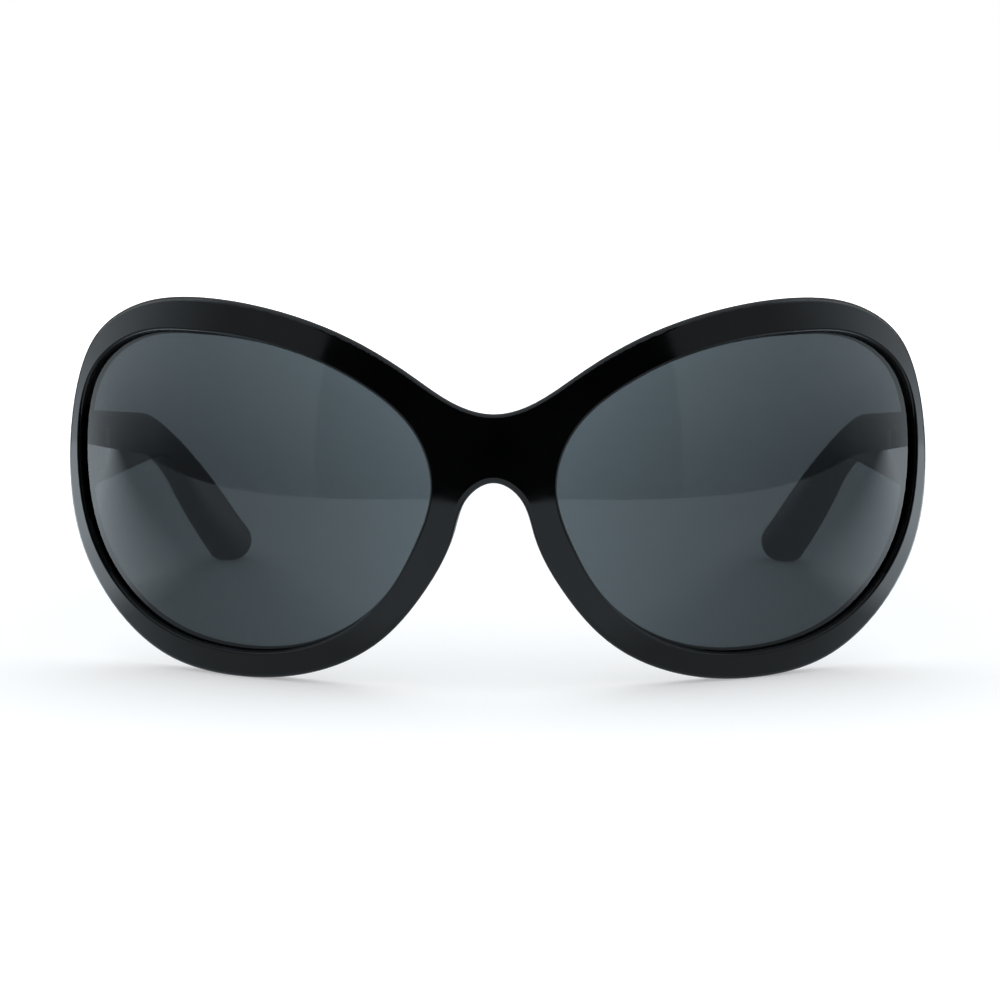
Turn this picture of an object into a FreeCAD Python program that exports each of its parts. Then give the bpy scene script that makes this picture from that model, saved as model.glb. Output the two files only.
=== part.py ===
import FreeCAD
import Part
import Sketcher
import math
import os

Vector = FreeCAD.Vector
doc = FreeCAD.newDocument("oversized_sunglasses")

# Driving sizes in millimetres and degrees. Setbacks are measured straight back from the bridge,
# heights are measured up from the table.
SIZES = (
    ("front_width", 148.4, "outline of the front before its edge is rounded"),
    ("front_height", 64.0, "top of the brow before its edge is rounded"),
    ("overall_depth", 150.0, "bridge to the back of the temple tips"),
    ("wrap_radius", 100.0, "ball that the front face lies on"),
    ("ball_height", 32.2, "height of the ball centre"),
    ("rim_thickness", 4.0, "front face to back face"),
    ("bridge_top", 46.15, "height of the dip between the brows"),
    ("nose_arch", 34.85, "height of the arch over the nose"),
    ("bridge_width", 20.6, "gap between the lens openings"),
    ("brow_rim", 5.8, "rim above a lens opening"),
    ("lower_rim", 4.8, "rim below a lens opening"),
    ("temporal_rim", 2.2, "rim beside a lens opening, seen from the front"),
    ("foot_drop", 0.3, "outline below the table before the edge is rounded"),
    ("front_edge_radius", 1.0, "rounding of the outer front edge"),
    ("back_edge_radius", 0.5, "rounding of the outer back edge"),
    ("opening_edge_radius", 0.4, "rounding of a lens opening"),
    ("lens_recess", 1.1, "lens face behind the front face"),
    ("lens_thickness", 1.8, "lens"),
    ("groove_depth", 0.9, "lens edge inside the rim"),
    ("lens_bevel", 0.6, "bevel on both sides of the lens edge"),
    ("lens_clearance", 0.05, "gap around the lens edge"),
    ("temple_ledge", 0.8, "inner face of a temple outside the back of the lens opening"),
    ("temple_thickness", 3.1, "temple"),
    ("temple_top", 42.2, "top edge at the hinge"),
    ("temple_low", 28.8, "lower edge at the hinge"),
    ("temple_edge_radius", 1.2, "rounding of the long edges"),
    ("endpiece_length", 11.04, "front corner of the rim to the end of the endpiece"),
    ("mitre_gap", 0.15, "gap between front and temple"),
    ("bend_top", 33.1, "top corner of the ear bend"),
    ("bend_low", 25.4, "lower corner of the ear bend"),
    ("bend_top_radius", 72.0, "ear bend, top edge"),
    ("bend_low_radius", 26.0, "ear bend, lower edge"),
    ("drop_angle", 48.0, "slope behind the ear"),
    ("drop_width", 7.9, "temple behind the ear"),
    ("tip_radius", 4.0, "back of the tip"),
    ("tip_heel_radius", 2.0, "front of the tip"),
    ("ear_curve_length", 50.0, "part of the temple that curves inward"),
    ("ear_curve_radius", 90.0, "inward curve of the inner face"),
    ("endpiece_flare", 2.0, "endpiece taller at its root, each side"),
    ("hinge_height", 35.5, "middle of the hinge"),
    ("hinge_inset", 0.6, "pin axis inside the temple face"),
    ("barrel_radius", 1.4, "hinge barrel"),
    ("knuckle_height", 1.4, "one of five knuckles"),
    ("knuckle_gap", 0.06, "gap between knuckles"),
    ("knuckle_relief", 0.12, "plate edge to the other leaf's knuckle"),
    ("barrel_relief", 0.3, "plastic to barrel"),
    ("plate_thickness", 1.0, "hinge leaf plate"),
    ("front_plate_length", 5.0, "plate in the endpiece"),
    ("temple_plate_length", 9.0, "plate in the temple"),
    ("plate_clearance", 0.02, "gap around a sunk plate and its studs"),
    ("stud_radius", 0.7, "anchor stud"),
    ("stud_length", 1.5, "anchor stud behind the plate"),
    ("screw_radius", 0.7, "hinge screw"),
    ("screw_clearance", 0.04, "gap around the screw"),
    ("screw_head_radius", 1.15, "screw head"),
    ("screw_head_height", 0.8, "screw head"),
    ("slot_width", 0.35, "screw slot"),
    ("slot_depth", 0.4, "screw slot"),
    ("pad_length", 14.0, "nose pad along the rim"),
    ("pad_width", 4.0, "nose pad across the rim"),
    ("pad_depth", 3.6, "nose pad behind the rim"),
    ("pad_offset", 11.4, "nose pad beside the middle"),
    ("pad_height", 21.0, "middle of a nose pad"),
    ("pad_lean", 27.0, "nose pad against the vertical"),
    ("tool_reach", 90.0, "length of cutting tools"),
)

dims = doc.addObject("Spreadsheet::Sheet", "Dims")
for row, (alias, amount, note) in enumerate(SIZES, start=1):
    dims.set("A%d" % row, note)
    dims.set("B%d" % row, str(amount))
    dims.setAlias("B%d" % row, alias)
doc.recompute()

S = {alias: amount for alias, amount, note in SIZES}
FRONT_PLANE = "(-Dims.overall_depth / 2)"
RIM_CORNER = "(Dims.wrap_radius - sqrt(Dims.wrap_radius ^ 2 - (Dims.front_width / 2) ^ 2))"
MITRE = "(%s + Dims.endpiece_length)" % RIM_CORNER
REAR_SHARE = "(1 - Dims.rim_thickness / Dims.wrap_radius)"
INNER_FACE = "((Dims.front_width / 2 - Dims.temporal_rim) * %s + Dims.temple_ledge)" % REAR_SHARE
PIN_X = "(%s - Dims.hinge_inset)" % INNER_FACE
PIN_Y = "(%s - Dims.overall_depth / 2)" % MITRE
EAR_CURVE = "(Dims.overall_depth - Dims.ear_curve_length)"
STACK = "(5 * Dims.knuckle_height + 4 * Dims.knuckle_gap)"
STACK_FOOT = "(Dims.hinge_height - %s / 2)" % STACK
BALL = Vector(0, S["wrap_radius"] - S["overall_depth"] / 2, S["ball_height"])


def value(expression):
    """Number that an expression on the sheet gives now."""
    return float(dims.evalExpression(expression))


def bind(item, **expressions):
    """Tie properties of an object to expressions on the sheet."""
    for name, expression in expressions.items():
        setattr(item, name, value(expression))
        item.setExpression(name, expression)
    return item


def place(item, x, y, z):
    """Tie the position of an object to the sheet."""
    item.Placement.Base = Vector(value(x), value(y), value(z))
    for axis, expression in zip("xyz", (x, y, z)):
        item.setExpression(".Placement.Base." + axis, expression)
    return item


def box(name, x, y, z, length, width, height):
    item = doc.addObject("Part::Box", name)
    bind(item, Length=length, Width=width, Height=height)
    return place(item, x, y, z)


def post(name, radius, height, z):
    """Upright cylinder on the hinge axis."""
    item = doc.addObject("Part::Cylinder", name)
    bind(item, Radius=radius, Height=height)
    return place(item, PIN_X, PIN_Y, z)


def ball(name, radius):
    item = doc.addObject("Part::Sphere", name)
    bind(item, Radius=radius)
    return place(item, "0", "Dims.wrap_radius - Dims.overall_depth / 2", "Dims.ball_height")


def combine(kind, name, first, second):
    item = doc.addObject("Part::" + kind, name)
    item.Base = first
    item.Tool = second
    return item


def fuse(name, items):
    item = doc.addObject("Part::MultiFuse", name)
    item.Shapes = items
    return item


def mirror(name, source):
    """Copy for the wearer's right side."""
    item = doc.addObject("Part::Mirroring", name)
    item.Source = source
    item.Normal = Vector(1, 0, 0)
    return item


def dress(kind, name, base, pick):
    """Fillet or chamfer the edges for which pick gives a size."""
    doc.recompute()
    sized = [(number, pick(edge)) for number, edge in enumerate(base.Shape.Edges, start=1)]
    item = doc.addObject("Part::" + kind, name)
    item.Base = base
    item.Edges = [(number, size, size) for number, size in sized if size]
    return item


def hold(sketch, element, point, **expressions):
    """Hold a sketch point at distances from the sketch origin that follow the sheet."""
    for axis, expression in expressions.items():
        rule = Sketcher.Constraint("Distance" + axis.upper(), -1, 1, element, point, value(expression))
        index = sketch.addConstraint(rule)
        sketch.setExpression("Constraints[%d]" % index, expression)


def chain(sketch):
    """Join each sketch element to the next one."""
    count = len(sketch.Geometry)
    for index in range(count):
        sketch.addConstraint(Sketcher.Constraint("Coincident", index, 2, (index + 1) % count, 1))


def side_block(name, corners, x, width):
    """Solid from a side view with straight sides; corners are setback and height."""
    sketch = doc.addObject("Sketcher::SketchObject", name + "_outline")
    sketch.Placement.Rotation = FreeCAD.Rotation(Vector(1, 1, 1), 120)
    place(sketch, x, FRONT_PLANE, "0")
    points = [Vector(value(across), value(up), 0) for across, up in corners]
    for start, end in zip(points, points[1:] + points[:1]):
        sketch.addGeometry(Part.LineSegment(start, end), False)
    chain(sketch)
    for index, (across, up) in enumerate(corners):
        hold(sketch, index, 1, x=across, y=up)
    item = doc.addObject("Part::Extrusion", name)
    item.Base = sketch
    item.DirMode = "Normal"
    item.Solid = True
    return bind(item, LengthFwd=width)


def on_ball(x, z):
    """Direction from the ball centre to a point of the front face."""
    up = z - S["ball_height"]
    return Vector(x, -math.sqrt(S["wrap_radius"] ** 2 - x ** 2 - up ** 2), up).normalize()


def radial_block(name, directions, half=False):
    """Solid whose walls run straight to the ball centre, inside a smooth outline.

    A half outline starts and ends level on the middle plane and is closed by a straight line."""
    rings = []
    for suffix, reach in (("_outside", S["wrap_radius"] + 1), ("_inside", S["wrap_radius"] / 5)):
        points = [BALL + way * (reach / -way.y) for way in directions]
        curve = Part.BSplineCurve()
        if half:
            curve.interpolate(Points=points, InitialTangent=Vector(1, 0, 0), FinalTangent=Vector(-1, 0, 0),
                              Scale=False)
            edges = [curve.toShape(), Part.makeLine(points[-1], points[0])]
        else:
            along = (points[1] - points[-1]).normalize()
            curve.interpolate(Points=points + points[:1], InitialTangent=along, FinalTangent=along, Scale=False)
            edges = [curve.toShape()]
        ring = doc.addObject("Part::Feature", name + suffix)
        ring.Shape = Part.Wire(edges)
        rings.append(ring)
    item = doc.addObject("Part::Loft", name)
    item.Sections = rings
    item.Solid = True
    item.Ruled = True
    return item


def shell(name, outside, inside):
    """Hollow ball between two radii."""
    return combine("Cut", name, ball(name + "_outside", outside), ball(name + "_inside", inside))


def from_centre(edge):
    """Distances of three points of an edge from the ball centre."""
    first, last = edge.ParameterRange
    return [edge.valueAt(first + (last - first) * part).distanceToPoint(BALL) for part in (0.1, 0.5, 0.9)]


def lies_at(edge, radius):
    return all(abs(distance - radius) < 0.005 for distance in from_centre(edge))


# Outlines of the front, wearer's left half, as shares of its width and heights
half = S["front_width"] / 2
brow = S["front_height"]
foot = -S["foot_drop"]
nasal = S["bridge_width"] / 2
temporal = half - S["temporal_rim"]
ceiling = brow - S["brow_rim"]
floor = S["lower_rim"]


def between(points, left, right, low, high):
    """Points across and up, from shares of a width and a height."""
    return [(left + across * (right - left), low + up * (high - low)) for across, up in points]


BROW_LINE = [(0, 0), (0.19, 0.365), (0.341, 0.708), (0.542, 0.949), (0.708, 1)]
SIDE_LINE = [(0.85, 0.9625), (0.946, 0.8625), (0.989, 0.705), (1, 0.536), (0.977, 0.333), (0.892, 0.153),
             (0.772, 0.041), (0.607, 0), (0.415, 0.027), (0.253, 0.127)]
NOSE_LINE = [(1.097, 0.486), (0.641, 0.756), (0.427, 0.925), (0, 1)]
OUTLINE = (between(BROW_LINE, 0, half, S["bridge_top"], brow) + between(SIDE_LINE, 0, half, foot, brow)
           + between(NOSE_LINE, 0, nasal, foot, S["nose_arch"]))
LENS_LINE = [(0.627, 1), (0.356, 0.946), (0.168, 0.845), (0.041, 0.709), (0, 0.546), (0.043, 0.371), (0.123, 0.207),
             (0.304, 0.043), (0.567, -0.004), (0.816, 0.093), (0.961, 0.315), (1, 0.591), (0.969, 0.83),
             (0.845, 0.97)]
OPENING = between(LENS_LINE, nasal, temporal, floor, ceiling)
opening_directions = [on_ball(x, z) for x, z in OPENING]
lens_axis = on_ball((nasal + temporal) / 2, (floor + ceiling) / 2)


def grown(amount):
    """Opening outline widened along the face, away from the middle of the lens."""
    ways = []
    for way in opening_directions:
        away = (way * way.dot(lens_axis) - lens_axis).normalize()
        turn = amount / S["wrap_radius"]
        ways.append(way * math.cos(turn) + away * math.sin(turn))
    return ways


def lens_body(name, margin):
    """Lens with a bevelled edge, or with a margin the seat that takes it."""
    gap = "Dims.lens_clearance * %d" % margin
    front_radius = "Dims.wrap_radius - Dims.lens_recess + " + gap
    back_radius = "Dims.wrap_radius - Dims.lens_recess - Dims.lens_thickness - " + gap
    edge_depth = S["groove_depth"] - S["lens_clearance"] * (1 - margin)
    dome = shell(name + "_dome", front_radius, back_radius)
    blank = combine("Common", name + "_blank", dome, radial_block(name + "_cut", grown(edge_depth)))
    faces = [value(front_radius), value(back_radius)]
    return dress("Chamfer", name, blank,
                 lambda edge: S["lens_bevel"] if any(lies_at(edge, face) for face in faces) else 0)


# Left half of the front: a curved plate, the lens opening and rounded edges
plate = combine("Common", "plate", shell("plate_shell", "Dims.wrap_radius", "Dims.wrap_radius - Dims.rim_thickness"),
                radial_block("plate_cut", [on_ball(x, z) for x, z in OUTLINE], half=True))
rim = combine("Cut", "rim", plate, radial_block("opening", opening_directions))


def rim_rounding(depth, outline, size):
    """Rounding for the outline or the opening, on the face at a depth behind the front."""
    def pick(edge):
        if edge.BoundBox.XMax < 0.01 or not lies_at(edge, S["wrap_radius"] - depth):
            return 0
        return size if (edge.BoundBox.XMin < nasal / 2) == outline else 0
    return pick


front_edge = dress("Fillet", "front_edge", rim, rim_rounding(0, True, S["front_edge_radius"]))
back_edge = dress("Fillet", "back_edge", front_edge,
                  rim_rounding(S["rim_thickness"], True, S["back_edge_radius"]))
opening_front = dress("Fillet", "opening_front", back_edge, rim_rounding(0, False, S["opening_edge_radius"]))
rounded_rim = dress("Fillet", "rounded_rim", opening_front,
                    rim_rounding(S["rim_thickness"], False, S["opening_edge_radius"]))


# Endpiece: short arm from the rim to the mitre
endpiece_block = side_block(
    "endpiece_block",
    [(RIM_CORNER, "Dims.temple_low - Dims.endpiece_flare"),
     (MITRE, "Dims.temple_low"),
     (MITRE, "Dims.temple_top"),
     (RIM_CORNER, "Dims.temple_top + Dims.endpiece_flare")],
    INNER_FACE, "Dims.temple_thickness")


def long_edge(edge):
    """Edges that run from front to back."""
    return S["temple_edge_radius"] if edge.BoundBox.YLength > 3 * edge.BoundBox.ZLength + 1 else 0


endpiece = dress("Fillet", "endpiece", endpiece_block, long_edge)


# Hinge leaves: a sunk plate with two studs and every second knuckle of the barrel
def knuckle(number, name, radius, margin):
    foot_height = "%s + %d * (Dims.knuckle_height + Dims.knuckle_gap) - %s" % (STACK_FOOT, number, margin)
    return post("%s_%d" % (name, number), radius, "Dims.knuckle_height + 2 * %s" % margin, foot_height)


def sunk_plate(name, start, length, margin):
    """Plate with its studs, or with a margin the pocket that takes it."""
    gap = "Dims.plate_clearance * %d" % margin
    slab = box(name + "_slab", INNER_FACE, "%s - %s" % (start, gap), "%s - %s" % (STACK_FOOT, gap),
               "Dims.plate_thickness + " + gap, "%s + 2 * %s" % (length, gap), "%s + 2 * %s" % (STACK, gap))
    pieces = [slab]
    for index, sign in enumerate("-+"):
        stud = doc.addObject("Part::Cylinder", "%s_stud_%d" % (name, index))
        stud.Placement.Rotation = FreeCAD.Rotation(Vector(0, 1, 0), 90)
        bind(stud, Radius="Dims.stud_radius + " + gap, Height="Dims.plate_thickness + Dims.stud_length + " + gap)
        place(stud, INNER_FACE, "%s + %s / 2" % (start, length), "Dims.hinge_height %s %s / 4" % (sign, STACK))
        pieces.append(stud)
    return fuse(name, pieces)


def leaf(name, plate_start, length, own, others):
    """Plate, own knuckles, room for the other leaf's knuckles, and the screw hole."""
    relief = [knuckle(number, name + "_relief", "Dims.barrel_radius + Dims.knuckle_relief", "Dims.knuckle_gap")
              for number in others]
    flat = combine("Cut", name + "_flat", sunk_plate(name + "_plate", plate_start, length, 0),
                   fuse(name + "_reliefs", relief))
    barrels = [knuckle(number, name + "_knuckle", "Dims.barrel_radius", "0") for number in own]
    whole = fuse(name + "_whole", [flat] + barrels)
    hole = post(name + "_hole", "Dims.screw_radius + Dims.screw_clearance", STACK + " + 2", STACK_FOOT + " - 1")
    return combine("Cut", name, whole, hole)


FRONT_PLATE_START = "(%s - Dims.front_plate_length)" % PIN_Y
TEMPLE_PLATE_START = "(%s + Dims.mitre_gap)" % PIN_Y
front_leaf_left = leaf("hinge_front_leaf_left", FRONT_PLATE_START, "Dims.front_plate_length", (0, 2, 4), (1, 3))
temple_leaf_left = leaf("hinge_temple_leaf_left", TEMPLE_PLATE_START, "Dims.temple_plate_length", (1, 3), (0, 2, 4))

# Screw: slotted head on the top knuckle
shank = post("screw_shank", "Dims.screw_radius", STACK, STACK_FOOT)
head = post("screw_head", "Dims.screw_head_radius", "Dims.screw_head_height", "%s + %s" % (STACK_FOOT, STACK))
slot = box("screw_slot", PIN_X + " - Dims.screw_head_radius", PIN_Y + " - Dims.slot_width / 2",
           "%s + %s + Dims.screw_head_height - Dims.slot_depth" % (STACK_FOOT, STACK),
           "2 * Dims.screw_head_radius", "Dims.slot_width", "Dims.slot_depth")
screw_left = combine("Cut", "hinge_screw_left", fuse("screw_blank", [shank, head]), slot)

# Room for the barrel, the screw head and the two plates in the plastic
barrel_room = post("barrel_room", "Dims.barrel_radius + Dims.barrel_relief",
                   STACK + " + Dims.screw_head_height + 2 * Dims.barrel_relief", STACK_FOOT + " - Dims.barrel_relief")
front_pocket = sunk_plate("front_pocket", FRONT_PLATE_START, "Dims.front_plate_length", 1)
temple_pocket = sunk_plate("temple_pocket", TEMPLE_PLATE_START, "Dims.temple_plate_length", 1)

# Lenses and the bevelled seats for them
lens_left = lens_body("lens_left", 0)
lens_seat = lens_body("lens_seat", 1)

# The finished front
front_blank = fuse("front_blank", [rounded_rim, endpiece])
front_room = fuse("front_room", [lens_seat, front_pocket, barrel_room])
front_half = combine("Cut", "front_half", front_blank, front_room)
front_frame = fuse("front_frame", [front_half, mirror("front_half_right", front_half)])

# Nose pad: half an ellipsoid on the back of the rim
pad_egg = doc.addObject("Part::Ellipsoid", "pad_egg")
pad_egg.Placement.Rotation = FreeCAD.Rotation(Vector(0, 1, 0), -S["pad_lean"])
bind(pad_egg, Radius1="Dims.pad_length / 2", Radius2="Dims.pad_width / 2", Radius3="Dims.pad_depth")
PAD_BACK = ("Dims.wrap_radius - sqrt((Dims.wrap_radius - Dims.rim_thickness) ^ 2 - Dims.pad_offset ^ 2"
            " - (Dims.pad_height - Dims.ball_height) ^ 2)")
place(pad_egg, "Dims.pad_offset", FRONT_PLANE + " + " + PAD_BACK, "Dims.pad_height")
nose_pad_left = combine("Common", "nose_pad_left", pad_egg,
                        ball("pad_bed", "Dims.wrap_radius - Dims.rim_thickness"))

# Temple: side view and plan view meet in one solid, then the long edges are rounded
TIP_CORNER = "(Dims.overall_depth - Dims.tip_radius + Dims.tip_radius / tan(Dims.drop_angle / 2))"
TIP_HEEL = "(%s - Dims.drop_width / sin(Dims.drop_angle))" % TIP_CORNER
TEMPLE_START = "(%s + Dims.mitre_gap)" % MITRE
BEND_TOP_AT = "%s - Dims.bend_top / tan(Dims.drop_angle)" % TIP_CORNER
BEND_LOW_AT = "%s - Dims.bend_low / tan(Dims.drop_angle)" % TIP_HEEL
temple_side = side_block(
    "temple_side",
    [(TEMPLE_START, "Dims.temple_low"), (BEND_LOW_AT, "Dims.bend_low"), (TIP_HEEL, "0"),
     (TIP_CORNER, "0"), (BEND_TOP_AT, "Dims.bend_top"), (TEMPLE_START, "Dims.temple_top")],
    "0", "Dims.tool_reach")
BENDS = (
    (BEND_LOW_AT, "Dims.bend_low", "bend_low_radius"),
    (TIP_HEEL, "0", "tip_heel_radius"),
    (TIP_CORNER, "0", "tip_radius"),
    (BEND_TOP_AT, "Dims.bend_top", "bend_top_radius"),
)


def bend_rounding(edge):
    if edge.BoundBox.XLength < 1:
        return 0
    spot = edge.CenterOfMass
    for setback, up, radius in BENDS:
        if abs(spot.y - value(setback + " - Dims.overall_depth / 2")) + abs(spot.z - value(up)) < 0.01:
            return S[radius]
    return 0


temple_bent = dress("Fillet", "temple_bent", temple_side, bend_rounding)

temple_plan = doc.addObject("Sketcher::SketchObject", "temple_plan")
place(temple_plan, "0", FRONT_PLANE, "-1")
OUTER_FACE = "(%s + Dims.temple_thickness)" % INNER_FACE
CURVE_X = "(%s - Dims.ear_curve_radius)" % INNER_FACE
CURVE_END = "Dims.overall_depth + 2 * Dims.temple_thickness"
inner_radius = S["ear_curve_radius"]
outer_radius = inner_radius + S["temple_thickness"]
curve_middle = Vector(value(CURVE_X), value(EAR_CURVE), 0)
run = value(CURVE_END) - value(EAR_CURVE)


def plan_arc(radius):
    circle = Part.Circle(curve_middle, Vector(0, 0, 1), radius)
    return Part.ArcOfCircle(circle, 0, math.asin(run / radius))


inner_arc = plan_arc(inner_radius)
outer_arc = plan_arc(outer_radius)
outer_start = Vector(value(OUTER_FACE), value(TEMPLE_START), 0)
inner_start = Vector(value(INNER_FACE), value(TEMPLE_START), 0)
temple_plan.addGeometry(Part.LineSegment(inner_start, outer_start), False)
temple_plan.addGeometry(Part.LineSegment(outer_start, outer_arc.StartPoint), False)
temple_plan.addGeometry(outer_arc, False)
temple_plan.addGeometry(Part.LineSegment(outer_arc.EndPoint, inner_arc.EndPoint), False)
temple_plan.addGeometry(inner_arc, False)
temple_plan.addGeometry(Part.LineSegment(inner_arc.StartPoint, inner_start), False)
for first, first_end, second, second_end in ((0, 2, 1, 1), (1, 2, 2, 1), (2, 2, 3, 1), (3, 2, 4, 2),
                                             (4, 1, 5, 1), (5, 2, 0, 1), (2, 3, 4, 3)):
    temple_plan.addConstraint(Sketcher.Constraint("Coincident", first, first_end, second, second_end))
hold(temple_plan, 0, 1, x=INNER_FACE, y=TEMPLE_START)
hold(temple_plan, 0, 2, x=OUTER_FACE, y=TEMPLE_START)
hold(temple_plan, 1, 2, x=OUTER_FACE, y=EAR_CURVE)
hold(temple_plan, 5, 1, x=INNER_FACE, y=EAR_CURVE)
hold(temple_plan, 2, 3, x=CURVE_X, y=EAR_CURVE)
hold(temple_plan, 2, 2, y=CURVE_END)
hold(temple_plan, 4, 2, y=CURVE_END)
temple_sheet = doc.addObject("Part::Extrusion", "temple_sheet")
temple_sheet.Base = temple_plan
temple_sheet.DirMode = "Normal"
temple_sheet.Solid = True
bind(temple_sheet, LengthFwd="Dims.tool_reach")
temple_blank = combine("Common", "temple_blank", temple_bent, temple_sheet)


def inside_temple(point):
    """Distance of a point behind the inner face of the temple."""
    setback = point.y + S["overall_depth"] / 2
    if setback < value(EAR_CURVE):
        return point.x - value(INNER_FACE)
    return math.hypot(point.x - curve_middle.x, setback - curve_middle.y) - inner_radius


def temple_rounding(edge):
    """Edges that stay on one side face; upright edges and edges across the thickness are left."""
    first, last = [inside_temple(vertex.Point) for vertex in (edge.Vertexes[0], edge.Vertexes[-1])]
    return S["temple_edge_radius"] if abs(first - last) < 0.01 < edge.BoundBox.YLength else 0


temple_rounded = dress("Fillet", "temple_rounded", temple_blank, temple_rounding)
temple_left = combine("Cut", "temple_left", temple_rounded, fuse("temple_room", [temple_pocket, barrel_room]))

# Right side copies
NODES = [front_frame]
for left in (lens_left, nose_pad_left, front_leaf_left, screw_left, temple_left, temple_leaf_left):
    NODES.append(left)
    NODES.append(mirror(left.Label.replace("_left", "_right"), left))

doc.recompute()
for item in doc.Objects:
    if "Invalid" in item.State or "Error" in item.State:
        raise RuntimeError("%s failed: %s" % (item.Label, item.State))
os.makedirs("parts", exist_ok=True)
for node in NODES:
    if node.Shape.isNull() or not node.Shape.isValid() or len(node.Shape.Solids) != 1:
        raise RuntimeError("%s is not one sound solid" % node.Label)
    node.Shape.exportStep("parts/%s.step" % node.Label)
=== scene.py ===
"""Finishes, fuller temples, hinge screws, studio and camera for a pair of wrap sunglasses."""

import math

import bmesh
import bpy
from bpy.props import FloatProperty, FloatVectorProperty, PointerProperty
from mathutils import Euler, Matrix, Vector


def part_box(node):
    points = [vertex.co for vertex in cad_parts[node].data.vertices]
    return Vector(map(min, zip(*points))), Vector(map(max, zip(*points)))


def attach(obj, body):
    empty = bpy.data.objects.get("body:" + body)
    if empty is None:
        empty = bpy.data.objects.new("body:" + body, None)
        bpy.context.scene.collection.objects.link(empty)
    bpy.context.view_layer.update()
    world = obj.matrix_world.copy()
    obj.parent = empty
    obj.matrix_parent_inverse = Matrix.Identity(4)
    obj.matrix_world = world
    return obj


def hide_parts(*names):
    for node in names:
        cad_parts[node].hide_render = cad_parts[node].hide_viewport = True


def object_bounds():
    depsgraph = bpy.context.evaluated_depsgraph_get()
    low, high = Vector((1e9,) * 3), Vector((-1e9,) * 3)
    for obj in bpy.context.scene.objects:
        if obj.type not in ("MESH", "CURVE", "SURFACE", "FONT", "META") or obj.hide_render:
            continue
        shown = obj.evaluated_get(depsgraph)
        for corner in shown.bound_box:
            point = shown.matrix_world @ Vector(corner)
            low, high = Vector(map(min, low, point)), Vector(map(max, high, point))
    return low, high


bl_info = {
    "name": "Oversized Sunglasses",
    "version": (1, 0, 0),
    "blender": (4, 5, 0),
    "location": "View3D > Sidebar > Sunglasses",
    "description": "Dresses a pair of wrap sunglasses and sets them in a small studio",
    "category": "Object",
}

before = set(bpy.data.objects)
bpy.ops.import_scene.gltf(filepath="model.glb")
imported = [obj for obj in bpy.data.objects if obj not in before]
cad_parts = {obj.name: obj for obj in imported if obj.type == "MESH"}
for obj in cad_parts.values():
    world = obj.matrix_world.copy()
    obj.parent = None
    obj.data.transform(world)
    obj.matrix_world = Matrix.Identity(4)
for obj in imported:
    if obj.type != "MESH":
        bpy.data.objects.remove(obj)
CAD_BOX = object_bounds()
FRONT_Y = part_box("front_frame")[0].y

TEMPLE_NODES = ("temple_left", "temple_right")
PAD_NODES = ("nose_pad_left", "nose_pad_right")
LENS_NODES = ("lens_left", "lens_right")
LEAF_NODES = ("hinge_front_leaf_left", "hinge_front_leaf_right",
              "hinge_temple_leaf_left", "hinge_temple_leaf_right")
SCREW_NODES = ("hinge_screw_left", "hinge_screw_right")

# Finishes: refraction of the plastic, and how noise is stretched along x, y and z
ACETATE_INDEX = 1.49
WAVE_STRETCH = (0.4, 0.4, 2.0)
HAIRLINE_STRETCH = (0.03, 0.03, 1.0)
WIPE_STRETCH = (1.0, 1.0, 0.4)
BRUSH_STRETCH = (1.0, 0.04, 1.0)
PATCH_GRAINS = 8  # fine grains across a dulled patch

# Meshes: merging distance, sharp edges, bevels and how finely round shapes are cut
MERGE = 1e-6
TEMPLE_SHARP = math.radians(40)
SCREW_SHARP = math.radians(35)
BEVEL_ANGLE = math.radians(50)
BEVEL_STEPS = 2
HEAD_SIDES = 48
HEAD_RINGS = 6
SHANK_SIDES = 32
SLOT_REACH = 2.5  # length of the slot's cutter, in head radii
SLOT_TWIST = 2.6  # how far the second slot is turned back, in slot turns

# Studio
WHITE = (1.0, 1.0, 1.0, 1.0)
EDGE_STEPS = 48  # steps of the table's front edge and of the screen
BULGE_REACH = 3  # half length of the bulge, in bulge widths
SCREEN_TOP = 1.5  # in screen reaches
LID_TOP = 1.4  # in screen reaches
LID_SHARE = 0.8  # darkest part of the lid against its brightest
TABLE_EDGE = 1.35  # how suddenly the bright part of the table starts
TABLE_ROUGHNESS = 0.9
TOP_PLACE = (0.0, 0.35, 1.0)
SIDE_PLACES = (("right_light", (-1.0, 0.0, 0.6)), ("left_light", (1.0, 0.0, 0.6)))
SENSOR_WIDTH = 36.0


def length(name, description, default):
    return FloatProperty(name=name, description=description, default=default, unit="LENGTH",
                         precision=5)


def angle(name, description, degrees):
    return FloatProperty(name=name, description=description, default=math.radians(degrees),
                         unit="ROTATION")


def share(name, description, default, most=1.0):
    return FloatProperty(name=name, description=description, default=default, min=0.0, max=most)


def colour(name, description, default):
    return FloatVectorProperty(name=name, description=description, default=default,
                               subtype="COLOR", min=0.0, max=1.0)


class AcetateSettings(bpy.types.PropertyGroup):
    """Polished black plastic of the front and the temples."""
    black: colour("Black", "Body colour of the sheet", (0.0008, 0.0009, 0.0010))
    cloud: colour("Cloud", "Slightly lighter colour that drifts through the sheet",
                  (0.0020, 0.0021, 0.0024))
    cloud_size: length("Cloud Size", "Size of the colour drift", 0.012)
    gloss: share("Polish", "Roughness where the wheel polished best", 0.05)
    haze: share("Haze", "Roughness where the polish is dullest", 0.10)
    hairline_size: length("Hairline Size", "Width of the finest polishing lines", 0.00012)
    hairline: share("Hairline", "Roughness that the polishing lines add", 0.03)
    ripple_size: length("Ripple Size", "Width of the soft waves that polishing leaves", 0.009)
    ripple: length("Ripple", "Height of those waves", 0.00001)


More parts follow.
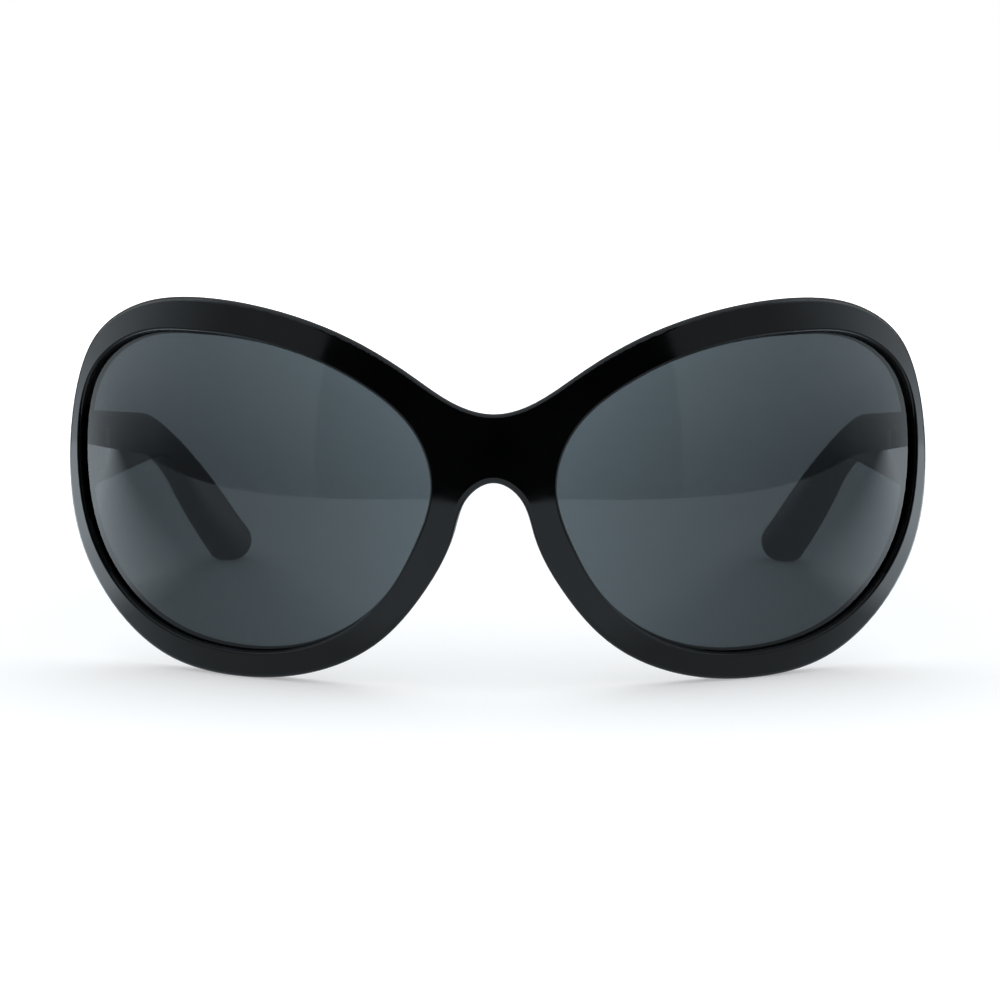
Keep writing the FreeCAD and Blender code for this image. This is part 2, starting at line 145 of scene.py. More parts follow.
class TempleSettings(bpy.types.PropertyGroup):
    """Temples that grow thicker towards the ear; lengths run forward from the back of the tip."""
    thickness: length("Thickness", "Temple at the hinge", 0.0031)
    swell_length: length("Swell Length", "Where the temple starts to grow thicker", 0.095)
    ear_length: length("Ear Length", "Where it is thickest and starts to curve inward", 0.05)
    ear_radius: length("Ear Radius", "Inward curve of the packed inner face", 0.09)
    inward: length("Inward", "Thickness added inside at the ear", 0.0016)
    outward: length("Outward", "Thickness added outside at the ear", 0.0007)


class PadSettings(bpy.types.PropertyGroup):
    """Nose pads, dulled where they rest on the skin."""
    gloss: share("Polish", "Roughness of the untouched surface", 0.14)
    haze: share("Haze", "Roughness where skin dulled it", 0.3)
    grain_size: length("Grain Size", "Size of the dulled patches", 0.0015)
    grain: length("Grain", "Height of the fine grain", 0.000004)


class LensSettings(bpy.types.PropertyGroup):
    """Smoke lenses."""
    nose: colour("Nose Tint", "Light that passes beside the nose", (0.0764, 0.0991, 0.1115))
    side: colour("Side Tint", "Light that passes beside the temple", (0.028, 0.0363, 0.0409))
    fade: share("Fade", "How suddenly the tint thins towards the nose", 2.0, 10.0)
    index: FloatProperty(name="Index", description="Refraction of the lens plastic",
                         default=1.5, min=1.0, max=2.0)
    gloss: share("Polish", "Roughness of the clear areas", 0.01)
    haze: share("Haze", "Roughness where the surface was wiped", 0.03)
    wipe_size: length("Wipe Size", "Width of the wiped streaks", 0.01)


class HingeSettings(bpy.types.PropertyGroup):
    """Satin nickel of the hinge leaves and the screws."""
    light: colour("Light Metal", "Colour of the raised brush marks", (0.44, 0.43, 0.41))
    dark: colour("Dark Metal", "Colour between the brush marks", (0.28, 0.27, 0.26))
    smooth: share("Smooth", "Lowest roughness", 0.28)
    rough: share("Rough", "Highest roughness", 0.5)
    brush_size: length("Brush Size", "Width of one brush mark", 0.0001)


class ScrewSettings(bpy.types.PropertyGroup):
    """Slotted hinge screws."""
    head_height: length("Head Height", "Screw head with its crown", 0.0008)
    crown: length("Crown", "Rise of the head's middle over its rim", 0.00015)
    shank_radius: length("Shank Radius", "Screw below its head", 0.0007)
    slot_width: length("Slot Width", "Slot across the head", 0.00035)
    slot_depth: length("Slot Depth", "Slot below the crown", 0.0004)
    edge: length("Edge", "Bevel of the head's edges", 0.00006)
    turn: angle("Slot Turn", "Slot of the left screw against straight across", 25.0)


class StudioSettings(bpy.types.PropertyGroup):
    """Table, lights, room that gloss sees, and camera."""
    table_colour: colour("Table", "White table", (0.735, 0.762, 0.785))
    table_lift: share("Table Lift", "Light added so that the open table reads white", 0.34)
    far_lift: share("Far Lift", "Light added far behind the glasses", 1.0)
    lift_start: length("Lift Start", "Where that light starts to grow, behind the bridge", 0.25)
    lift_end: length("Lift End", "Where it is strongest, behind the bridge", 0.7)
    table_front: length("Table Front", "Table in front of the bridge, in the middle", 0.25)
    side_front: length("Side Front", "Table in front of the bridge, at both sides", 0.112)
    bulge_width: length("Bulge Width", "Half width of the bulge in the table's front edge", 0.19)
    table_reach: length("Table Reach", "Table to the sides and behind", 4.0)
    ambient: share("Ambient", "Soft light from all round", 0.55)
    behind_level: share("Behind Level", "Light that gloss sees behind the glasses", 0.4)
    top_light: share("Top Light", "Soft light from above", 1.0, 10.0)
    side_light: share("Side Lights", "Soft light from each side", 0.45, 10.0)
    softness: angle("Softness", "Spread of each light", 65.0)
    screen_reach: length("Screen Reach", "Curved screen in front of the glasses", 0.9)
    screen_spread: angle("Screen Spread", "Half angle of the curved screen", 120.0)
    flag_spread: angle("Flag Spread", "Half angle of the black middle of the screen", 40.5)
    dim_spread: angle("Dim Spread", "Half angle of the dim part of the screen", 66.0)
    side_spread: angle("Side Spread", "Half angle where the screen is brightest", 101.0)
    room_tint: colour("Room Tint", "Cool colour of the light that gloss sees", (0.82, 0.925, 1.0))
    dim_level: share("Dim Level", "Light from the dim part", 0.32)
    dim_low: share("Dim Low", "Light from the dim part close to the table", 0.16)
    side_level: share("Side Level", "Light that the sides add", 1.2, 10.0)
    side_edge: share("Side Edge", "How suddenly the light of the sides starts", 1.6, 20.0)
    low_level: share("Low Level", "Light that the sides add close to the table", 2.15, 10.0)
    low_edge: share("Low Edge", "How suddenly the light close to the table starts", 5.0, 20.0)
    low_height: length("Low Height", "Screen height where the table has no more effect", 0.2)
    lid_level: share("Lid Level", "Light from high above", 0.8)
    table_dim: share("Table Dim", "Light from the table close in front and behind", 0.39)
    table_bright: share("Table Bright", "Light from the table beside the glasses", 3.2, 10.0)
    table_start: length("Table Start", "Where the bright part starts, behind the bridge", 0.016)
    table_full: length("Table Full", "Where it is brightest, behind the bridge", 0.068)
    table_lead: length("Table Lead", "How much further forward both are far to the side", 0.021)
    lead_start: length("Lead Start", "Where the lead starts, from the middle", 0.08)
    lead_end: length("Lead End", "Where the lead is full, from the middle", 0.1)
    table_fade: length("Table Fade", "Where the bright part fades, behind the bridge", 0.045)
    table_end: length("Table End", "Where it has faded, behind the bridge", 0.105)
    table_turn: angle("Table Turn", "How much the fading runs back at each side", 22.0)
    table_ahead: share("Table Ahead", "Light from the table well in front", 0.66)
    ahead_start: length("Ahead Start", "Where that light starts, in front of the bridge", -0.01)
    ahead_full: length("Ahead Full", "Where it is full, in front of the bridge", 0.006)
    ahead_turn: angle("Ahead Turn", "How much that edge runs forward at each side", 16.7)
    camera_reach: length("Camera Reach", "Camera to the bridge", 0.5)
    camera_height: length("Camera Height", "Camera above the table", 0.0985)
    camera_side: length("Camera Side", "Camera off the middle", 0.009)
    camera_pitch: angle("Camera Pitch", "Camera tilted down", 7.55)
    camera_yaw: angle("Camera Yaw", "Camera turned to its left", 0.91)
    focal_length: FloatProperty(name="Focal Length", description="Camera lens", default=112.0,
                                unit="CAMERA")


# Building blocks for node trees and objects
def feed(tree, socket, given):
    """Link a socket, or set its value."""
    if isinstance(given, bpy.types.NodeSocket):
        tree.links.new(given, socket)
    else:
        socket.default_value = given


def add_node(tree, kind, **inputs):
    """New node whose inputs are named in lower case."""
    node = tree.nodes.new(kind)
    for name, given in inputs.items():
        feed(tree, node.inputs[name.replace("_", " ").title()], given)
    return node


def calculate(tree, operation, first, second=0.0):
    node = tree.nodes.new("ShaderNodeMath")
    node.operation = operation
    feed(tree, node.inputs[0], first)
    feed(tree, node.inputs[1], second)
    return node.outputs["Value"]


def spread(tree, factor, low, high, start=0.3, end=0.7):
    """Stretch a part of a factor over a range."""
    node = add_node(tree, "ShaderNodeMapRange", value=factor, from_min=start, from_max=end,
                    to_min=low, to_max=high)
    return node.outputs["Result"]


def new_material(name):
    material = bpy.data.materials.new(name)
    material.use_nodes = True
    tree = material.node_tree
    return material, tree, tree.nodes["Principled BSDF"]


def object_place(tree):
    return add_node(tree, "ShaderNodeTexCoord").outputs["Object"]


def place_parts(tree):
    """Object coordinates, as x, y and z."""
    return add_node(tree, "ShaderNodeSeparateXYZ", vector=object_place(tree)).outputs


def object_noise(tree, size, detail=3.0, stretch=(1.0, 1.0, 1.0)):
    """Noise whose features are about size metres wide, longer along axes with a small stretch."""
    turned = add_node(tree, "ShaderNodeMapping", vector=object_place(tree), scale=stretch)
    noise = add_node(tree, "ShaderNodeTexNoise", vector=turned.outputs["Vector"],
                     scale=1.0 / size, detail=detail)
    return noise.outputs["Fac"]


def blend_colours(tree, factor, first, second):
    mix = tree.nodes.new("ShaderNodeMix")
    mix.data_type = "RGBA"
    mix.inputs["A"].default_value = (*first, 1.0)
    mix.inputs["B"].default_value = (*second, 1.0)
    tree.links.new(factor, mix.inputs["Factor"])
    return mix.outputs["Result"]


def relief(tree, height, depth):
    bump = add_node(tree, "ShaderNodeBump", strength=1.0, distance=depth, height=height)
    return bump.outputs["Normal"]


def link(name, data):
    item = bpy.data.objects.new(name, data)
    bpy.context.collection.objects.link(item)
    return item


def applied(maker):
    """Plain mesh of an object with its modifiers; the object itself goes."""
    graph = bpy.context.evaluated_depsgraph_get()
    made = bpy.data.meshes.new_from_object(maker.evaluated_get(graph))
    bpy.data.objects.remove(maker)
    if not made.polygons:
        raise RuntimeError("a piece came out with no faces")
    return made


# Finishes
def black_sheet(tree, shader, look):
    """Colour and refraction of the black plastic."""
    cloud = spread(tree, object_noise(tree, look.cloud_size), 0.0, 1.0)
    feed(tree, shader.inputs["Base Color"], blend_colours(tree, cloud, look.black, look.cloud))
    shader.inputs["IOR"].default_value = ACETATE_INDEX


def polished_acetate(name, look):
    material, tree, shader = new_material(name)
    black_sheet(tree, shader, look)
    waves = object_noise(tree, look.ripple_size, stretch=WAVE_STRETCH)
    wiped = spread(tree, waves, look.gloss, look.haze)
    lines = object_noise(tree, look.hairline_size, stretch=HAIRLINE_STRETCH)
    rough = calculate(tree, "ADD", wiped, spread(tree, lines, 0.0, look.hairline))
    feed(tree, shader.inputs["Roughness"], rough)
    ripple = object_noise(tree, look.ripple_size, detail=0.0)
    feed(tree, shader.inputs["Normal"], relief(tree, ripple, look.ripple))
    return material


def dulled_acetate(look, pad):
    material, tree, shader = new_material("dulled_acetate")
    black_sheet(tree, shader, look)
    patches = object_noise(tree, pad.grain_size)
    feed(tree, shader.inputs["Roughness"], spread(tree, patches, pad.gloss, pad.haze))
    grain = object_noise(tree, pad.grain_size / PATCH_GRAINS)
    feed(tree, shader.inputs["Normal"], relief(tree, grain, pad.grain))
    return material


def smoke_lens(look):
    """Smoke lens whose tint is darker beside the temple and lighter towards the nose."""
    material, tree, shader = new_material("smoke_lens")
    low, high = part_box("lens_left")
    across = calculate(tree, "ABSOLUTE", place_parts(tree)["X"])
    thin = calculate(tree, "POWER", spread(tree, across, 1.0, 0.0, low.x, high.x), look.fade)
    feed(tree, shader.inputs["Base Color"], blend_colours(tree, thin, look.side, look.nose))
    wiped = object_noise(tree, look.wipe_size, stretch=WIPE_STRETCH)
    feed(tree, shader.inputs["Roughness"], spread(tree, wiped, look.gloss, look.haze))
    shader.inputs["IOR"].default_value = look.index
    shader.inputs["Transmission Weight"].default_value = 1.0
    return material


def satin_nickel(look):
    material, tree, shader = new_material("satin_nickel")
    marks = object_noise(tree, look.brush_size, stretch=BRUSH_STRETCH)
    feed(tree, shader.inputs["Base Color"], blend_colours(tree, marks, look.dark, look.light))
    feed(tree, shader.inputs["Roughness"], spread(tree, marks, look.smooth, look.rough))
    shader.inputs["Metallic"].default_value = 1.0
    return material


def dress(names, material):
    """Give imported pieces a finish."""
    for name in names:
        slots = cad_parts[name].data.materials
        slots.clear()
        slots.append(material)


class SUNGLASSES_OT_acetate(bpy.types.Operator):
    """Polish the front"""
    bl_idname = "sunglasses.acetate"
    bl_label = "Polish Front"

    def execute(self, context):
        finish = polished_acetate("front_acetate", context.scene.sunglasses_acetate)
        dress(("front_frame",), finish)
        return {"FINISHED"}


# Temples
def swelling(look, spot, side, outer, tip):
    """Sideways move of a temple's point.

    Side is 1 on the left and -1 on the right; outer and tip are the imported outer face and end.
    """
    along = spot.y - tip + look.ear_length
    middle = outer - look.thickness - look.ear_radius
    way = Vector((side * spot.x - middle, max(along, 0.0)))
    depth = (way.length - look.ear_radius) / look.thickness
    ramp = 1.0 + min(along, 0.0) / (look.swell_length - look.ear_length)
    move = max(ramp, 0.0) * (depth * (look.inward + look.outward) - look.inward)
    return side * move * way.length / way.x


def thick_temple(name, look, finish):
    """Packed temple, made thicker from the hinge to the ear."""
    low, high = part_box(name)
    side = 1.0 if low.x > 0.0 else -1.0
    outer = max(high.x, -low.x)
    body = bmesh.new()
    body.from_mesh(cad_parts[name].data)
    bmesh.ops.remove_doubles(body, verts=body.verts, dist=MERGE)
    for along in (look.swell_length, look.ear_length):
        bmesh.ops.bisect_plane(body, geom=[*body.verts, *body.edges, *body.faces], dist=MERGE,
                               plane_co=(0.0, high.y - along, 0.0), plane_no=(0.0, 1.0, 0.0))
    bmesh.ops.triangulate(body, faces=body.faces)
    for vert in body.verts:
        vert.co.x += swelling(look, vert.co, side, outer, high.y)
    mesh = bpy.data.meshes.new(name)
    body.to_mesh(mesh)
    body.free()
    mesh.materials.clear()
    mesh.materials.append(finish)
    mesh.shade_smooth()
    mesh.set_sharp_from_angle(angle=TEMPLE_SHARP)
    maker = link("temple_maker", mesh)
    maker.modifiers.new("normals", "WEIGHTED_NORMAL").keep_sharp = True
    return applied(maker)


class SUNGLASSES_OT_temples(bpy.types.Operator):
    """Make the temples, which grow thicker towards the ear"""
    bl_idname = "sunglasses.temples"
    bl_label = "Make Temples"

    def execute(self, context):
        look = context.scene.sunglasses_temple
        finish = polished_acetate("temple_acetate", context.scene.sunglasses_acetate)
        for name in TEMPLE_NODES:
            temple = link(name + "_full", thick_temple(name, look, finish))
            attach(temple, name + "_arm")
            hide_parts(name)
        return {"FINISHED"}


class SUNGLASSES_OT_pads(bpy.types.Operator):
    """Dull the nose pads"""
    bl_idname = "sunglasses.pads"
    bl_label = "Dull Nose Pads"

    def execute(self, context):
        scene = context.scene
        dress(PAD_NODES, dulled_acetate(scene.sunglasses_acetate, scene.sunglasses_pad))
        return {"FINISHED"}


class SUNGLASSES_OT_lenses(bpy.types.Operator):
    """Tint the lenses"""
    bl_idname = "sunglasses.lenses"
    bl_label = "Tint Lenses"

    def execute(self, context):
        dress(LENS_NODES, smoke_lens(context.scene.sunglasses_lens))
        return {"FINISHED"}


class SUNGLASSES_OT_hinges(bpy.types.Operator):
    """Brush the hinge leaves"""
    bl_idname = "sunglasses.hinges"
    bl_label = "Brush Hinges"

    def execute(self, context):
        dress(LEAF_NODES, satin_nickel(context.scene.sunglasses_hinge))
        return {"FINISHED"}


# Hinge screws
SCREW_INPUTS = (
    ("Head Radius", "NodeSocketFloat"),
    ("Head Height", "NodeSocketFloat"),
    ("Crown", "NodeSocketFloat"),
    ("Slot Size", "NodeSocketVector"),
    ("Slot Place", "NodeSocketVector"),
    ("Slot Turn", "NodeSocketFloat"),
    ("Shank Radius", "NodeSocketFloat"),
    ("Shank Height", "NodeSocketFloat"),
    ("Shank Place", "NodeSocketVector"),
    ("First Screw", "NodeSocketVector"),
    ("Step", "NodeSocketVector"),
)


def crowned_head(tree, given):
    """Round head whose top rises towards the middle."""
    drum = add_node(tree, "GeometryNodeMeshCylinder", vertices=HEAD_SIDES,
                    fill_segments=HEAD_RINGS, radius=given["Head Radius"],
                    depth=given["Head Height"])
    drum.fill_type = "TRIANGLE_FAN"
    spot = add_node(tree, "GeometryNodeInputPosition").outputs["Position"]
    parts = add_node(tree, "ShaderNodeSeparateXYZ", vector=spot).outputs
    squared = calculate(tree, "ADD", calculate(tree, "POWER", parts["X"], 2.0),
                        calculate(tree, "POWER", parts["Y"], 2.0))
    rim = calculate(tree, "POWER", given["Head Radius"], 2.0)
    inward = calculate(tree, "SUBTRACT", 1.0, calculate(tree, "DIVIDE", squared, rim))
    rise = calculate(tree, "MULTIPLY", given["Crown"], inward)
    on_top = calculate(tree, "GREATER_THAN", parts["Z"], 0.0)
    offset = add_node(tree, "ShaderNodeCombineXYZ", z=calculate(tree, "MULTIPLY", rise, on_top))
    return add_node(tree, "GeometryNodeSetPosition", geometry=drum.outputs["Mesh"],
                    offset=offset.outputs["Vector"]).outputs["Geometry"]


def screw_tree(material):
    """Node tree for a row of slotted screws, and the identifiers of its inputs."""
    tree = bpy.data.node_groups.new("slotted_screws", "GeometryNodeTree")
    tree.interface.new_socket(name="Geometry", in_out="OUTPUT", socket_type="NodeSocketGeometry")
    names = {}
    for name, kind in SCREW_INPUTS:
        socket = tree.interface.new_socket(name=name, in_out="INPUT", socket_type=kind)
        names[name] = socket.identifier
    given = tree.nodes.new("NodeGroupInput").outputs
    cutter = add_node(tree, "GeometryNodeMeshCube", size=given["Slot Size"])
    raised = add_node(tree, "GeometryNodeTransform", geometry=cutter.outputs["Mesh"],
                      translation=given["Slot Place"])
    slotted = tree.nodes.new("GeometryNodeMeshBoolean")
    slotted.operation = "DIFFERENCE"
    tree.links.new(crowned_head(tree, given), slotted.inputs["Mesh 1"])
    tree.links.new(raised.outputs["Geometry"], slotted.inputs["Mesh 2"])
    rod = add_node(tree, "GeometryNodeMeshCylinder", vertices=SHANK_SIDES,
                   radius=given["Shank Radius"], depth=given["Shank Height"])
    shank = add_node(tree, "GeometryNodeTransform", geometry=rod.outputs["Mesh"],
                     translation=given["Shank Place"])
    screw = tree.nodes.new("GeometryNodeJoinGeometry")
    for part in (slotted.outputs["Mesh"], shank.outputs["Geometry"]):
        tree.links.new(part, screw.inputs["Geometry"])
    row = add_node(tree, "GeometryNodeMeshLine", count=len(SCREW_NODES),
                   start_location=given["First Screw"], offset=given["Step"])
    index = add_node(tree, "GeometryNodeInputIndex").outputs["Index"]
    twist = calculate(tree, "SUBTRACT", 1.0, calculate(tree, "MULTIPLY", index, SLOT_TWIST))
    turn = calculate(tree, "MULTIPLY", given["Slot Turn"], twist)
    turned = add_node(tree, "ShaderNodeCombineXYZ", z=turn)
    rotation = add_node(tree, "FunctionNodeEulerToRotation", euler=turned.outputs["Vector"])
    placed = add_node(tree, "GeometryNodeInstanceOnPoints", points=row.outputs["Mesh"],
                      instance=screw.outputs["Geometry"], rotation=rotation.outputs["Rotation"])
    real = add_node(tree, "GeometryNodeRealizeInstances", geometry=placed.outputs["Instances"])
    finished = add_node(tree, "GeometryNodeSetMaterial", geometry=real.outputs["Geometry"],
                        material=material)
    output = tree.nodes.new("NodeGroupOutput")
    tree.links.new(finished.outputs["Geometry"], output.inputs["Geometry"])
    return tree, names


def screw_values(look):
    """Sizes and places of the screws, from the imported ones."""
    low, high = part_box("hinge_screw_left")
    middle = (low + high) / 2
    drum = look.head_height - look.crown
    shank = high.z - low.z - look.head_height
    radius = (high.x - low.x) / 2
    return {
        "Head Radius": radius,
        "Head Height": drum,
        "Crown": look.crown,
        "Slot Size": (SLOT_REACH * radius, look.slot_width, 2 * look.slot_depth),
        "Slot Place": (0.0, 0.0, drum / 2 + look.crown),
        "Slot Turn": look.turn,
        "Shank Radius": look.shank_radius,
        "Shank Height": shank,
        "Shank Place": (0.0, 0.0, -(drum + shank) / 2),
        "First Screw": (middle.x, middle.y, high.z - look.crown - drum / 2),
        "Step": (-2 * middle.x, 0.0, 0.0),
    }


class SUNGLASSES_OT_screws(bpy.types.Operator):
    """Make the two slotted hinge screws"""
    bl_idname = "sunglasses.screws"
    bl_label = "Make Hinge Screws"

    def execute(self, context):
        look = context.scene.sunglasses_screw
        tree, names = screw_tree(satin_nickel(context.scene.sunglasses_hinge))
        maker = link("screw_maker", bpy.data.meshes.new("screw_maker"))
        nodes = maker.modifiers.new("screws", "NODES")
        nodes.node_group = tree
        for name, given in screw_values(look).items():
            nodes[names[name]] = given
        bevel = maker.modifiers.new("edges", "BEVEL")
        bevel.width = look.edge
        bevel.segments = BEVEL_STEPS
        bevel.limit_method = "ANGLE"
        bevel.angle_limit = BEVEL_ANGLE
        made = applied(maker)
        made.shade_smooth()
        made.set_sharp_from_angle(angle=SCREW_SHARP)
        screws = link("hinge_screws", made)
        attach(screws, "front")
        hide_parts(*SCREW_NODES)
        return {"FINISHED"}


# Studio
def table_light(tree, look):
    """Light that gloss sees on the table: bright beside the glasses, dim close in front."""
    parts = place_parts(tree)
    behind = calculate(tree, "SUBTRACT", parts["Y"], FRONT_Y)
    across = calculate(tree, "ABSOLUTE", parts["X"])
    lead = spread(tree, across, 0.0, look.table_lead, look.lead_start, look.lead_end)
    led = calculate(tree, "ADD", behind, lead)
    rise = spread(tree, led, 0.0, 1.0, look.table_start, look.table_full)
    start = calculate(tree, "POWER", rise, TABLE_EDGE)
    turn = calculate(tree, "MULTIPLY", across, math.tan(look.table_turn))
    turned = calculate(tree, "SUBTRACT", behind, turn)
    end = spread(tree, turned, 1.0, 0.0, look.table_fade, look.table_end)
    beside = spread(tree, across, 1.0, look.table_bright, CAD_BOX[1].x / 2, CAD_BOX[1].x)
    extra = calculate(tree, "MULTIPLY", calculate(tree, "SUBTRACT", beside, look.table_dim), end)
    slant = calculate(tree, "MULTIPLY", across, math.tan(look.ahead_turn))
    slanted = calculate(tree, "ADD", behind, slant)
    ahead = spread(tree, slanted, look.table_ahead, look.table_dim,
                   -look.ahead_full, -look.ahead_start)
    return calculate(tree, "ADD", calculate(tree, "MULTIPLY", start, extra), ahead)


def screen_light(tree, look):
    """Light of the screen: black in the middle, then dim, then bright at both ends."""
    parts = place_parts(tree)
    ahead = calculate(tree, "SUBTRACT", FRONT_Y, parts["Y"])
    turn = calculate(tree, "ABSOLUTE", calculate(tree, "ARCTAN2", parts["X"], ahead))
    side = spread(tree, turn, 0.0, 1.0, look.dim_spread, look.side_spread)
    steep = calculate(tree, "POWER", side, look.side_edge)
    high = calculate(tree, "MULTIPLY", steep, look.side_level)
    steepest = calculate(tree, "POWER", side, look.low_edge)
    low = calculate(tree, "MULTIPLY", steepest, look.low_level)
    dim = spread(tree, parts["Z"], look.dim_low, look.dim_level, 0.0, look.low_height)
    added = spread(tree, parts["Z"], low, high, 0.0, look.low_height)
    lit = calculate(tree, "ADD", added, dim)
    return calculate(tree, "MULTIPLY", lit, calculate(tree, "GREATER_THAN", turn, look.flag_spread))


def lid_light(tree, look):
    """Light of the lid, a little uneven like a bounced lamp."""
    uneven = object_noise(tree, look.screen_reach)
    return spread(tree, uneven, LID_SHARE * look.lid_level, look.lid_level)


def ray_kinds(tree):
    """Factors for rays that see a thing, straight or through a lens, and that only mirror it."""
    path = tree.nodes.new("ShaderNodeLightPath").outputs
    through = path["Is Transmission Ray"]
    seen = calculate(tree, "MAXIMUM", path["Is Camera Ray"], through)
    mirrored = calculate(tree, "GREATER_THAN", path["Is Glossy Ray"], through)
    return seen, mirrored


def choose(tree, factor, first, second):
    """Second shader where the factor is one, first shader where it is zero."""
    mix = tree.nodes.new("ShaderNodeMixShader")
    for given, socket in zip((factor, first, second), mix.inputs):
        tree.links.new(given, socket)
    return mix.outputs["Shader"]


def room_light(tree, look, strength):
    """Cool light that only gloss sees."""
    glow = add_node(tree, "ShaderNodeEmission", color=(*look.room_tint, 1.0), strength=strength)
    return glow.outputs["Emission"]


def white_table(look):
    """Matt white table; gloss sees the light of the room on it."""
    material, tree, shader = new_material("white_table")
    shader.inputs["Base Color"].default_value = (*look.table_colour, 1.0)
    shader.inputs["Roughness"].default_value = TABLE_ROUGHNESS
    shader.inputs["Specular IOR Level"].default_value = 0.0
    shader.inputs["Emission Color"].default_value = WHITE
    seen, mirrored = ray_kinds(tree)
    lift = spread(tree, place_parts(tree)["Y"], look.table_lift, look.far_lift,
                  FRONT_Y + look.lift_start, FRONT_Y + look.lift_end)
    feed(tree, shader.inputs["Emission Strength"], calculate(tree, "MULTIPLY", seen, lift))
    glow = room_light(tree, look, table_light(tree, look))
    shown = choose(tree, mirrored, shader.outputs["BSDF"], glow)
    tree.links.new(shown, tree.nodes["Material Output"].inputs["Surface"])
    return material


def room_glow(name, look, light):
    """Glowing surface of the room; light gives its strength for a tree."""
    material, tree, shader = new_material(name)
    tree.nodes.remove(shader)
    glow = room_light(tree, look, light(tree, look))
    tree.links.new(glow, tree.nodes["Material Output"].inputs["Surface"])
    return material


def add_stage(name, points, faces, material):
    mesh = bpy.data.meshes.new(name)
    mesh.from_pydata(points, [], faces)
    mesh.materials.append(material)
    item = link(name, mesh)
    return item


def add_room(name, points, faces, look, light):
    """Stage piece that shows only as a reflection."""
    item = add_stage(name, points, faces, room_glow(name, look, light))
    item.visible_camera = False
    item.visible_diffuse = False
    item.visible_transmission = False
    item.visible_shadow = False


def add_table(look):
    """Table whose front edge bulges forward in the middle."""
    reach = look.table_reach
    side = FRONT_Y - look.side_front
    bulge = look.table_front - look.side_front
    points = [(-reach, side, 0.0)]
    for step in range(EDGE_STEPS + 1):
        turn = BULGE_REACH * (2 * step / EDGE_STEPS - 1)
        points.append((turn * look.bulge_width, side - bulge * math.exp(-turn ** 2), 0.0))
    points += [(reach, side, 0.0), (reach, reach, 0.0), (-reach, reach, 0.0)]
    add_stage("table", points, [range(len(points))], white_table(look))


def add_screen(look):
    """Curved screen in front of the glasses and a lid above them."""
    reach = look.screen_reach
    points = []
    for step in range(EDGE_STEPS + 1):
        turn = look.screen_spread * (2 * step / EDGE_STEPS - 1)
        across, ahead = math.sin(turn) * reach, FRONT_Y - math.cos(turn) * reach
        points += [(across, ahead, -reach), (across, ahead, SCREEN_TOP * reach)]
    faces = [(foot, foot + 2, foot + 3, foot + 1) for foot in range(0, 2 * EDGE_STEPS, 2)]
    add_room("room_screen", points, faces, look, screen_light)
    near, far, top = FRONT_Y - reach, FRONT_Y + reach, LID_TOP * reach
    corners = [(-reach, near, top), (reach, near, top), (reach, far, top), (-reach, far, top)]
    add_room("room_lid", corners, [(0, 1, 2, 3)], look, lid_light)


def add_light(name, place, strength, softness):
    light = bpy.data.lights.new(name, "SUN")
    light.energy = strength
    light.angle = softness
    holder = link(name, light)
    holder.rotation_euler = (-Vector(place)).to_track_quat("-Z", "Y").to_euler()
    holder.visible_glossy = False


def add_world(look):
    """White where it is seen, softer where it only lights or shows in gloss."""
    world = bpy.data.worlds.new("white_room")
    world.use_nodes = True
    tree = world.node_tree
    soft = tree.nodes["Background"]
    soft.inputs["Color"].default_value = WHITE
    seen, mirrored = ray_kinds(tree)
    level = spread(tree, mirrored, look.ambient, look.behind_level, 0.0, 1.0)
    feed(tree, soft.inputs["Strength"], level)
    white = add_node(tree, "ShaderNodeBackground", color=WHITE, strength=1.0)
    shown = choose(tree, seen, soft.outputs["Background"], white.outputs["Background"])
    tree.links.new(shown, tree.nodes["World Output"].inputs["Surface"])
    bpy.context.scene.world = world


def add_camera(look):
    data = bpy.data.cameras.new("camera")
    data.lens = look.focal_length
    data.sensor_width = SENSOR_WIDTH
    camera = link("camera", data)
    camera.location = (look.camera_side, FRONT_Y - look.camera_reach, look.camera_height)
    camera.rotation_euler = Euler((math.pi / 2 - look.camera_pitch, 0.0, look.camera_yaw))
    bpy.context.scene.camera = camera


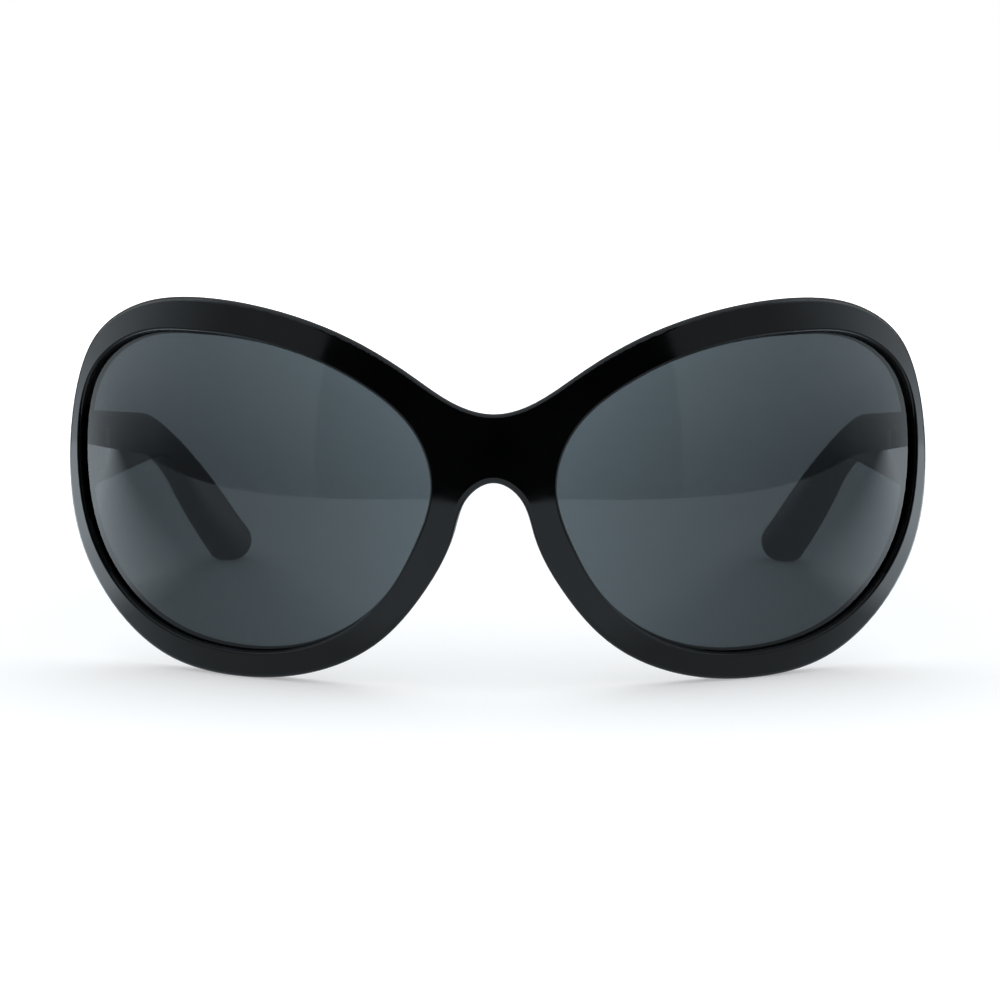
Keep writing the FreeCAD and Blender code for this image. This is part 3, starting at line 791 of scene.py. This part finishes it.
class SUNGLASSES_OT_studio(bpy.types.Operator):
    """Set up the table, the lights, the room that gloss sees and the camera"""
    bl_idname = "sunglasses.studio"
    bl_label = "Set Up Studio"

    def execute(self, context):
        look = context.scene.sunglasses_studio
        context.scene.view_settings.view_transform = "Standard"
        add_table(look)
        add_screen(look)
        add_light("top_light", TOP_PLACE, look.top_light, look.softness)
        for name, place in SIDE_PLACES:
            add_light(name, place, look.side_light, look.softness)
        add_world(look)
        add_camera(look)
        return {"FINISHED"}


# Sidebar: title, settings and step of each group
GROUPS = (
    ("Acetate", "sunglasses_acetate", AcetateSettings, SUNGLASSES_OT_acetate),
    ("Temples", "sunglasses_temple", TempleSettings, SUNGLASSES_OT_temples),
    ("Nose Pads", "sunglasses_pad", PadSettings, SUNGLASSES_OT_pads),
    ("Lenses", "sunglasses_lens", LensSettings, SUNGLASSES_OT_lenses),
    ("Hinges", "sunglasses_hinge", HingeSettings, SUNGLASSES_OT_hinges),
    ("Screws", "sunglasses_screw", ScrewSettings, SUNGLASSES_OT_screws),
    ("Studio", "sunglasses_studio", StudioSettings, SUNGLASSES_OT_studio),
)


class SUNGLASSES_PT_sidebar(bpy.types.Panel):
    """Sizes, colours and steps"""
    bl_idname = "SUNGLASSES_PT_sidebar"
    bl_label = "Sunglasses"
    bl_space_type = "VIEW_3D"
    bl_region_type = "UI"
    bl_category = "Sunglasses"

    def draw(self, context):
        for title, name, settings, operator in GROUPS:
            group = self.layout.box()
            group.label(text=title)
            for value in settings.__annotations__:
                group.prop(getattr(context.scene, name), value)
            group.operator(operator.bl_idname)


def register():
    for _, name, settings, operator in GROUPS:
        bpy.utils.register_class(settings)
        setattr(bpy.types.Scene, name, PointerProperty(type=settings))
        bpy.utils.register_class(operator)
    bpy.utils.register_class(SUNGLASSES_PT_sidebar)


def unregister():
    bpy.utils.unregister_class(SUNGLASSES_PT_sidebar)
    for _, name, settings, operator in reversed(GROUPS):
        bpy.utils.unregister_class(operator)
        delattr(bpy.types.Scene, name)
        bpy.utils.unregister_class(settings)


def main():
    register()
    bpy.ops.sunglasses.acetate()
    bpy.ops.sunglasses.temples()
    bpy.ops.sunglasses.pads()
    bpy.ops.sunglasses.lenses()
    bpy.ops.sunglasses.hinges()
    bpy.ops.sunglasses.screws()
    bpy.ops.sunglasses.studio()


if __name__ == "__main__":
    main()
